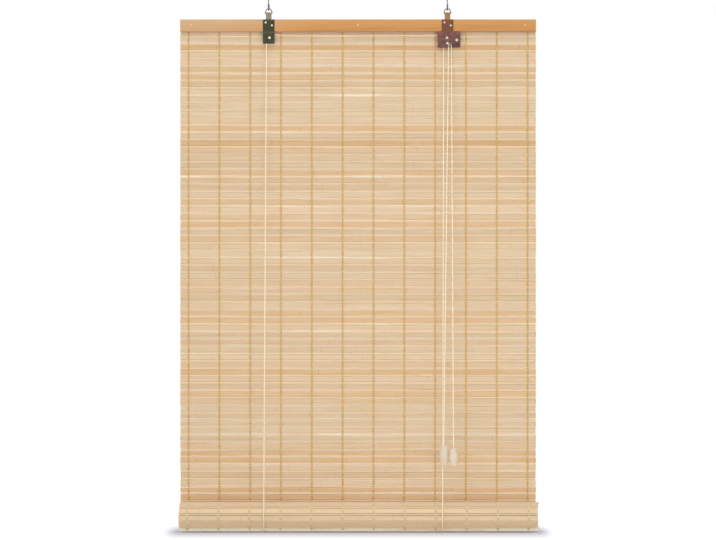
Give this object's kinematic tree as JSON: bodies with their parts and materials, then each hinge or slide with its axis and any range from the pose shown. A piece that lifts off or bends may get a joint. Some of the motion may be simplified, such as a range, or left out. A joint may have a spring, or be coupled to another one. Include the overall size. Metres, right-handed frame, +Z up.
{
  "type": "bamboo roll up blind",
  "caption": "Roll-up blind: a woven mat of bamboo slats hangs from a wooden head rail on ceiling hooks, its lower end rolled in cord slings that pull cords raise through a cord lock.",
  "frame": {"origin": "midway between the two hook shanks, where they meet the ceiling", "axes": "+X to the right seen from the front, +Y back towards the window, +Z up into the ceiling"},
  "size_m": [0.8, 0.0975, 1.2315],
  "materials": {
    "bamboo": "natural split bamboo, satin",
    "warp_thread": "dark ochre twisted cotton",
    "stained_wood": "planed and lightly stained",
    "dark_steel": "bronze-black lacquer",
    "bright_steel": "plain steel",
    "grey_wire": "zinc-plated wire",
    "cord": "cream twisted cord",
    "clear_plastic": "translucent moulded plastic"
  },
  "bodies": {
    "hangers": {"screw_hooks": "grey_wire", "hanging_rings": "grey_wire"},
    "head_frame": {"head_rail": "stained_wood", "back_strip": "stained_wood", "rail_nails": "bright_steel", "left_bracket": "dark_steel", "lock_bracket": "dark_steel", "bracket_rivets": "bright_steel", "axle_rivets": "bright_steel", "slat_mat": "bamboo", "front_warps": "warp_thread", "back_warps": "warp_thread", "cord_staples": "bright_steel", "left_cord_rear_run": "cord", "right_cord_rear_run": "cord", "left_cord_front_run": "cord", "right_cord_front_run": "cord", "transfer_cord": "cord", "left_pull_cord": "cord", "right_pull_cord": "cord"},
    "slings": {"left_cord_sling": "cord", "right_cord_sling": "cord"},
    "roll": {"slat_roll": "bamboo", "roll_warps": "warp_thread", "bottom_batten": "stained_wood"},
    "left_pulley": {"left_pulley": "bright_steel"},
    "lock_pulley": {"lock_pulley": "bright_steel"},
    "lock_roller": {"lock_roller": "bright_steel"},
    "lock_cam": {"lock_cam": "bright_steel"},
    "left_tassel": {"left_tassel": "clear_plastic", "left_tassel_knot": "cord"},
    "right_tassel": {"right_tassel": "clear_plastic", "right_tassel_knot": "cord"}
  },
  "joints": [
    {"name": "blind_sway", "type": "hinge", "parent": "hangers", "child": "head_frame", "pos_m": [0, 0, -0.0512], "axis": [1, 0, 0], "range_deg": [-15, 15]},
    {"name": "roll_lift", "type": "slide", "parent": "head_frame", "child": "slings", "axis": [0, 0, 1], "range_m": [0, 0.98], "deforming": ["slat_mat", "front_warps", "back_warps", "left_cord_rear_run", "right_cord_rear_run", "left_cord_front_run", "right_cord_front_run"]},
    {"name": "roll_turn", "type": "hinge", "parent": "slings", "child": "roll", "pos_m": [0, -0.02505, -1.1783], "axis": [-1, 0, 0], "range_deg": [0, 1440]},
    {"name": "left_pulley_turn", "type": "hinge", "parent": "head_frame", "child": "left_pulley", "pos_m": [-0.199, 0, -0.1058], "axis": [0, 1, 0], "range_deg": [0, 16050]},
    {"name": "lock_pulley_turn", "type": "hinge", "parent": "head_frame", "child": "lock_pulley", "pos_m": [0.1996, 0, -0.1058], "axis": [0, 1, 0], "range_deg": [0, 16050]},
    {"name": "lock_roller_turn", "type": "hinge", "parent": "head_frame", "child": "lock_roller", "pos_m": [0.2009, 0, -0.1182], "axis": [0, 1, 0], "range_deg": [0, 46800]},
    {"name": "lock_cam_swing", "type": "hinge", "parent": "head_frame", "child": "lock_cam", "pos_m": [0.2216, 0, -0.111], "axis": [0, -1, 0], "range_deg": [0, 35]},
    {"name": "left_tassel_pull", "type": "slide", "parent": "head_frame", "child": "left_tassel", "axis": [0, 0, -1], "range_m": [0, 1.96], "deforming": ["left_pull_cord"]},
    {"name": "right_tassel_pull", "type": "slide", "parent": "head_frame", "child": "right_tassel", "axis": [0, 0, -1], "range_m": [0, 1.96], "deforming": ["right_pull_cord"]}
  ],
  "couplings": [
    {"joint": "roll_turn", "follows": "roll_lift", "rad_per_m": 25.646},
    {"joint": "left_pulley_turn", "follows": "roll_lift", "rad_per_m": 285.71},
    {"joint": "lock_pulley_turn", "follows": "roll_lift", "rad_per_m": 285.71},
    {"joint": "lock_roller_turn", "follows": "roll_lift", "rad_per_m": 833.33},
    {"joint": "left_tassel_pull", "follows": "roll_lift", "ratio": 2},
    {"joint": "right_tassel_pull", "follows": "roll_lift", "ratio": 2}
  ]
}
